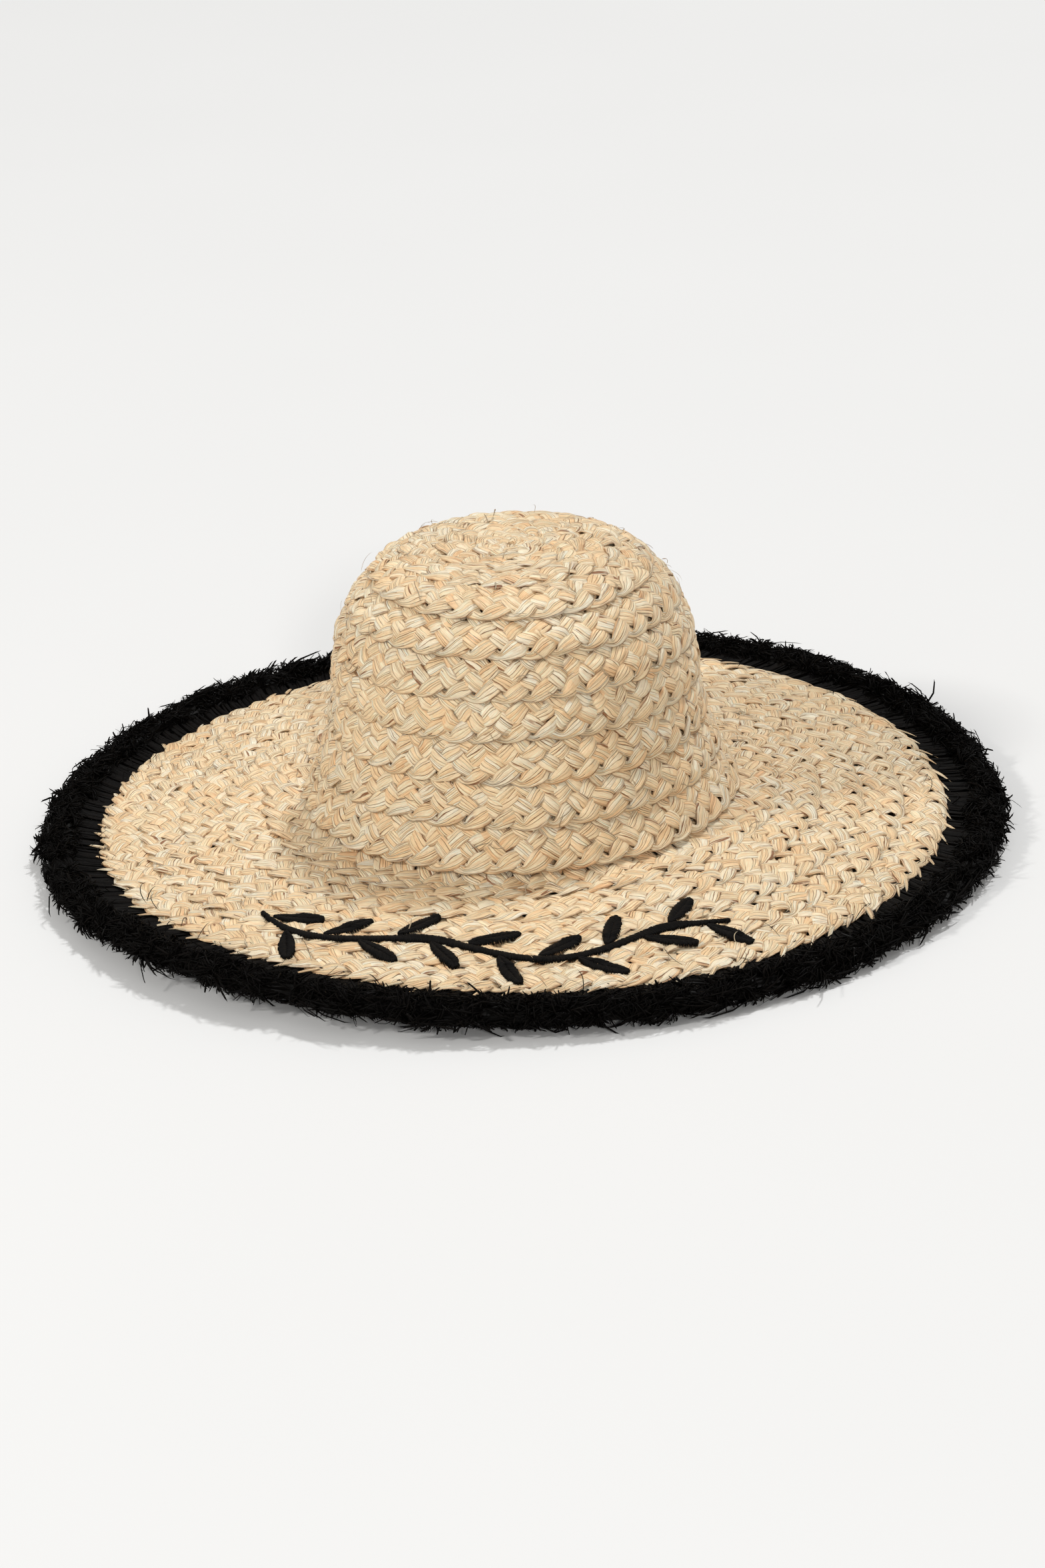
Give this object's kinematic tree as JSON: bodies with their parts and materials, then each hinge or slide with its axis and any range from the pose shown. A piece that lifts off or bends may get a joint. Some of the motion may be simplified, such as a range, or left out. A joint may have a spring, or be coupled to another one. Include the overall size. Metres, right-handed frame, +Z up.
{
  "type": "straw sun hat",
  "caption": "Wide-brimmed sun hat sewn from plaited raffia braid, with a black fringed brim edge, a black embroidered vine on the brim and an inner sweatband.",
  "frame": {"origin": "on the hat's axis, in the plane that the fringe rests on", "axes": "+Z up through the crown, -Y towards the front of the brim, where the embroidery is, +X to the right of someone who faces the front"},
  "size_m": [0.4599, 0.46, 0.1404],
  "materials": {
    "natural_raffia_braid": "plaited natural raffia, satin",
    "black_raffia_braid": "plaited dyed raffia, satin",
    "black_raffia_fringe": "cut dyed raffia pile, satin",
    "sweatband_cotton": "cotton twill, matt",
    "tag_cotton": "woven cotton, blank, matt",
    "ecru_thread": "sewing thread, matt",
    "black_thread": "sewing thread, matt",
    "embroidery_thread": "satin-stitch embroidery thread, glossy"
  },
  "bodies": {
    "root": {"brim_course_01": "natural_raffia_braid", "brim_course_02": "natural_raffia_braid", "brim_course_03": "natural_raffia_braid", "brim_course_04": "natural_raffia_braid", "brim_course_05": "natural_raffia_braid", "brim_seam_thread": "ecru_thread", "crown_button": "natural_raffia_braid", "crown_course_02": "natural_raffia_braid", "crown_course_03": "natural_raffia_braid", "crown_course_04": "natural_raffia_braid", "crown_course_05": "natural_raffia_braid", "crown_course_06": "natural_raffia_braid", "crown_course_07": "natural_raffia_braid", "crown_course_08": "natural_raffia_braid", "crown_course_09": "natural_raffia_braid", "crown_course_10": "natural_raffia_braid", "crown_seam_thread": "ecru_thread", "edge_braid": "black_raffia_braid", "edge_fringe": "black_raffia_fringe", "edge_seam_thread": "black_thread", "embroidered_leaves": "embroidery_thread", "embroidered_stem": "embroidery_thread", "size_tag": "tag_cotton", "sweatband": "sweatband_cotton", "sweatband_seam_thread": "ecru_thread"}
  },
  "joints": []
}
